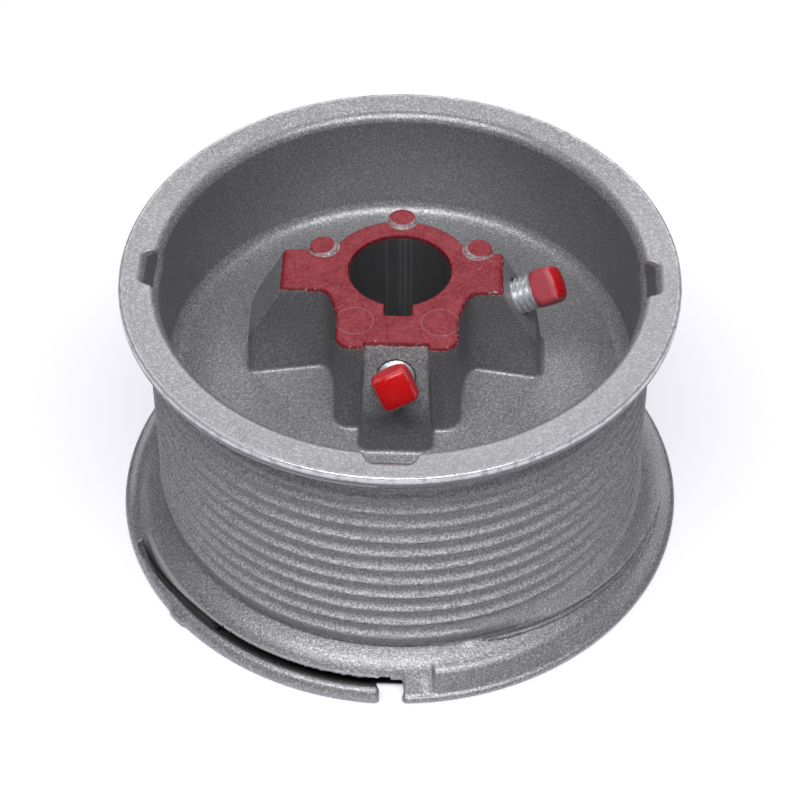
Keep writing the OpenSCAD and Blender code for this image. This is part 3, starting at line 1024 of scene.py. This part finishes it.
def slit_finish(n, at, colour):
    """Painted shade in the slit under a bright trimmed edge; also the mask of that shade."""
    beside_notch = n.times(n.zone(at.x, *SLIT_LEFT_ZONE),
                           n.zone(at.y, *SLIT_FRONT_ZONE, high=SLIT_SHADE_COVER))
    # Painted shade: the slit is dark because little light gets in
    slit_shade = n.times(n.zone(at.r, *SLIT_IN_ZONE), n.zone(at.r, *SLIT_OUT_ZONE),
                      n.zone(at.z, *SLIT_TOP_ZONE), beside_notch)
    trimmed = n.times(n.zone(at.r, *TRIM_IN_ZONE), n.zone(at.r, *TRIM_OUT_ZONE),
                      n.zone(at.z, *TRIM_FOOT_ZONE), beside_notch)
    colour = n.mix(n.times(trimmed, TRIM_COVER), colour, CAST_PALE_AND_HIGHLIGHT)
    return n.mix(slit_shade, colour, DEEP_SHADE), slit_shade


def bare_spots(n, at, edge, scuff):
    """Where the hub's paint is worn off: chips, crescents at the back pads, front pads' outlines."""
    chance = n.plus(n.noise(at.place, size=1.1, detail=4.0, roughness=0.65),
                    n.times(edge, PAINT_EDGE_CHIPS))
    right = n.zone(at.x, *PAINT_RIGHT_ZONE, high=PAINT_RIGHT_CHIPS)
    bare = n.ramp(n.plus(chance, right), 0.70, 0.75)
    for pad_x, pad_y in BACK_PADS:
        moved = 1 + CRESCENT_SHIFT / math.hypot(pad_x, pad_y)
        ring = n.distance(at.plan, (pad_x, pad_y, 0))
        disc = n.distance(at.plan, (pad_x * moved, pad_y * moved, 0))
        crescent = n.times(n.zone(disc, *CRESCENT_IN_ZONE), n.zone(ring, *CRESCENT_OUT_ZONE))
        bare = n.most(bare, n.times(crescent, n.blend(PAD_SCUFF, 1.0, scuff)))
    for pad_x, pad_y in FRONT_PADS:
        ring = n.distance(at.plan, (pad_x, pad_y, 0))
        line = n.times(n.zone(ring, FRONT_PAD_R - PAD_LINE_HALF, FRONT_PAD_R),
                       n.zone(ring, FRONT_PAD_R + PAD_LINE_HALF, FRONT_PAD_R))
        bare = n.most(bare, n.times(line, PAD_LINE_COVER))
    return bare


def hub_paint(n, at, colour, scuff):
    """Red paint on the hub's face with a ragged edge; also the mask of the paint's film."""
    height = n.ragged(at.z, at.place, size=1.6, reach=1.2)
    painted = n.times(n.zone(at.r, *HUB_ZONE), n.zone(height, *PAINT_FOOT_ZONE))
    edge = n.ramp(at.up, 0.96, 0.70)
    bare = bare_spots(n, at, edge, scuff)
    mottle = n.plus(n.times(n.noise(at.place, size=0.8), 0.6),
                    n.times(n.noise(at.place, size=4.0, detail=3.0), 0.4))
    red = n.mix(n.ramp(mottle, 0.34, 0.68), PAINT_RED, PAINT_PALE)
    red = n.mix(n.times(edge, PAINT_EDGE_COVER), red, PAINT_EDGE)
    film = n.times(painted, n.minus(1.0, n.times(bare, BARE_COVER)))
    return n.mix(film, colour, red), film


def cast_material():
    """The casting's finish, from the bare sand grain up to the paint."""
    n = Nodes("cast_aluminium")
    at = Spot(n)
    grain = n.noise(at.place, size=0.55, roughness=0.6)
    fine = n.noise(at.place, size=0.25, detail=1.0)
    scuff = n.ramp(n.noise(at.place, size=2.6, detail=4.0, roughness=0.65), 0.36, 0.56)
    colour = sand_colour(n, at, grain)
    colour = bore_finish(n, at, colour)
    colour = cup_finish(n, at, colour)
    colour, dull, rim_shadow = winding_finish(n, at, colour, grain)
    colour, worn = rim_finish(n, at, colour, scuff)
    colour, slit_shade = slit_finish(n, at, colour)
    colour, film = hub_paint(n, at, colour, scuff)

    matt = n.most(slit_shade, rim_shadow)
    metal = n.blend(n.most(film, matt), n.blend(dull, CAST_METAL, DULL_METAL), 0.0)
    rough = n.blend(worn, n.ramp(fine, 0.3, 0.7, *CAST_ROUGH), WORN_ROUGH)
    rough = n.blend(film, n.blend(matt, rough, MATT_ROUGH), PAINT_ROUGH)
    n.set(base_color=colour, metallic=metal, roughness=rough)
    relief = n.plus(n.times(grain, GRAIN_RELIEF), n.times(fine, FINE_RELIEF))
    relief = n.times(relief, n.blend(n.most(worn, film), 1.0, COVERED_RELIEF))
    n.bump(relief, size=0.16, strength=0.9)
    return n.material


def screw_material(name, dust_and_sheen):
    """A red head with dust and a painted sky sheen on its flanks, worn and with a painted highlight at
    its edges, and a zinc-plated thread.
    """
    n = Nodes(name)
    place = n.place()
    z = n.split(place)[2]
    up = n.split(n.new("ShaderNodeTexCoord").outputs["Normal"])[2]
    dust = n.ramp(n.noise(place, size=1.1, detail=4.0, roughness=0.65), 0.38, 0.62)
    flank = n.ramp(up, 0.80, 0.45)
    # Rounded edges between end and flanks: rub wear and a painted highlight
    rub_and_highlight = n.times(n.ramp(up, 0.40, 0.60), n.ramp(up, 0.84, 0.70),
                  n.ramp(n.noise(place, size=1.6, detail=3.0), 0.35, 0.55))
    # Flanks: dust and a painted pink sheen of the sky
    red = n.mix(n.times(flank, n.blend(dust, 0.7 * dust_and_sheen, dust_and_sheen)), HEAD_RED, HEAD_DUST_AND_SHEEN)
    red = n.mix(n.times(rub_and_highlight, HEAD_RUB_HIGHLIGHT_COVER), red, HEAD_EDGE_HIGHLIGHT)
    film = n.zone(n.ragged(z, place, size=1.0, reach=0.5), *HEAD_PAINT_ZONE)
    stain = n.ramp(n.noise(place, size=0.8, detail=3.0, roughness=0.6), 0.50, 0.72)
    zinc = n.mix(stain, ZINC, ZINC_DARK)
    gloss = n.blend(flank, n.ramp(dust, 0.0, 1.0, *HEAD_ROUGH), FLANK_ROUGH)
    n.set(base_color=n.mix(film, zinc, red), metallic=n.blend(film, ZINC_METAL, 0.0),
          roughness=n.blend(film, ZINC_ROUGH, gloss))
    lumps = n.plus(n.noise(place, size=1.8), n.times(n.noise(place, size=0.5), HEAD_FINE_RELIEF))
    n.bump(lumps, size=0.08, strength=0.6)
    return n.material


# The part's three pieces

limits = [np.array(corner) / MM for corner in cad_box]
drum = mesh_object("drum_casting", drum_field, DRUM_BOX, DRUM_STEP, DRUM_TRIANGLES, limits)
drum.data.materials.append(cast_material())
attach(drum, "drum")
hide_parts("drum")

# Body, node, direction, reach of its seat, bare thread, turn of the head, share of dust and painted
# sheen on the flanks
SCREWS = [
    ("front_screw", "front_set_screw", FRONT_ANGLE, FRONT_REACH, FRONT_OUT, FRONT_TURN, 0.3),
    ("side_screw", "side_set_screw", 0.0, ARM_REACH, SIDE_OUT, SIDE_TURN, 1.0),
]
for body, node, angle, reach, thread_out, turn, dust_and_sheen in SCREWS:
    screw = mesh_object(body + "_steel", screw_field, SCREW_BOX, SCREW_STEP, SCREW_TRIANGLES)
    screw.data.materials.append(screw_material(body + "_finish", dust_and_sheen))
    seat = Matrix.Translation(Vector((reach + SCREW_REACH, 0, HUB_H - SCREW_DROP)) * MM)
    lean = Matrix.Rotation(math.pi / 2 - TILT, 4, "Y") @ Matrix.Translation((0, 0, thread_out * MM))
    screw.matrix_world = Matrix.Rotation(angle, 4, "Z") @ seat @ lean @ Matrix.Rotation(turn, 4, "Z")
    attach(screw, body)
    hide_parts(node)

# Floor, light and camera: lengths in metres, power in watts
STUDIO_HALF = 3.0
STUDIO_GREY = grey(0.65)
STUDIO_SHADE = grey(0.04)
STUDIO_WHITE = grey(1.0)
STUDIO_ROUGH = 0.9
STUDIO_GLOW = 0.52
WORLD_GLOW = 0.05
# The floor is painted dark, as shade, under the drum, but not in the cable notch: starts and ends in
# millimetres
DRUM_SHADE_ZONE = (BAND_R - 3, BAND_R - 1)
NOTCH_SIDE_ZONE = (4.0, 3.4)
NOTCH_DEPTH_ZONE = (-(SLIT_R - 2.5), -(SLIT_R - 1.5))
# Name, place, width and height, power
LIGHTS = [
    ("key_light", (0.0, -0.45, 1.2), (1.2, 0.5), 13),
    ("back_light", (0.0, 1.1, 0.9), (0.8, 0.8), 4.2),
    ("front_light", (0.0, -1.0, 0.12), (0.6, 0.1), 0.7),
]
CAMERA_LENS = 117
CAMERA_SENSOR = 36
CAMERA_DISTANCE = 0.694
CAMERA_AIM = Vector((0, 0, 0.0344))
CAMERA_TURN = math.radians(1.9)
CAMERA_RISE = math.radians(45.8)


def facing(direction):
    """Rotation of a light or camera that looks in a direction."""
    return direction.to_track_quat("-Z", "Y").to_euler()


def floor_material():
    """A floor that looks evenly white to the camera and still takes shadows, painted dark as shade
    under the drum.
    """
    n = Nodes("studio_floor")
    path = n.new("ShaderNodeLightPath").outputs
    seen = n.most(path["Is Camera Ray"], path["Is Glossy Ray"], path["Is Transmission Ray"])
    place = n.place()
    x, y, _ = n.split(place)
    beside = n.zone(n.distance(place), *DRUM_SHADE_ZONE)
    in_notch = n.times(n.zone(n.size_of(x), *NOTCH_SIDE_ZONE), n.zone(y, *NOTCH_DEPTH_ZONE))
    beside = n.most(beside, in_notch)
    n.set(base_color=n.mix(beside, STUDIO_SHADE, STUDIO_GREY), roughness=STUDIO_ROUGH,
          emission_color=STUDIO_WHITE, emission_strength=n.times(seen, beside, STUDIO_GLOW))
    return n.material


def studio_floor():
    half = STUDIO_HALF
    corners = [(-half, -half, 0), (half, -half, 0), (half, half, 0), (-half, half, 0)]
    mesh = bpy.data.meshes.new("studio_floor")
    mesh.from_pydata(corners, [], [(0, 1, 2, 3)])
    floor = bpy.data.objects.new("studio_floor", mesh)
    bpy.context.collection.objects.link(floor)
    floor.data.materials.append(floor_material())


def studio_world():
    world = bpy.data.worlds.new("studio")
    bpy.context.scene.world = world
    world.use_nodes = True
    background = world.node_tree.nodes["Background"]
    background.inputs["Color"].default_value = STUDIO_WHITE
    background.inputs["Strength"].default_value = WORLD_GLOW


def area_light(name, place, size, power):
    light = bpy.data.lights.new(name, "AREA")
    light.shape = "RECTANGLE"
    light.size, light.size_y = size
    light.energy = power
    lamp = bpy.data.objects.new(name, light)
    lamp.location = place
    lamp.rotation_euler = facing(CAMERA_AIM - Vector(place))
    bpy.context.collection.objects.link(lamp)


def studio_camera():
    camera = bpy.data.objects.new("camera", bpy.data.cameras.new("camera"))
    camera.data.lens = CAMERA_LENS
    camera.data.sensor_width = CAMERA_SENSOR
    level = math.cos(CAMERA_RISE)
    away = Vector((math.sin(CAMERA_TURN) * level, -math.cos(CAMERA_TURN) * level,
                   math.sin(CAMERA_RISE)))
    camera.location = CAMERA_AIM + CAMERA_DISTANCE * away
    camera.rotation_euler = facing(-away)
    bpy.context.collection.objects.link(camera)
    bpy.context.scene.camera = camera


studio_floor()
studio_world()
for light in LIGHTS:
    area_light(*light)
studio_camera()
bpy.context.scene.view_settings.view_transform = "Standard"
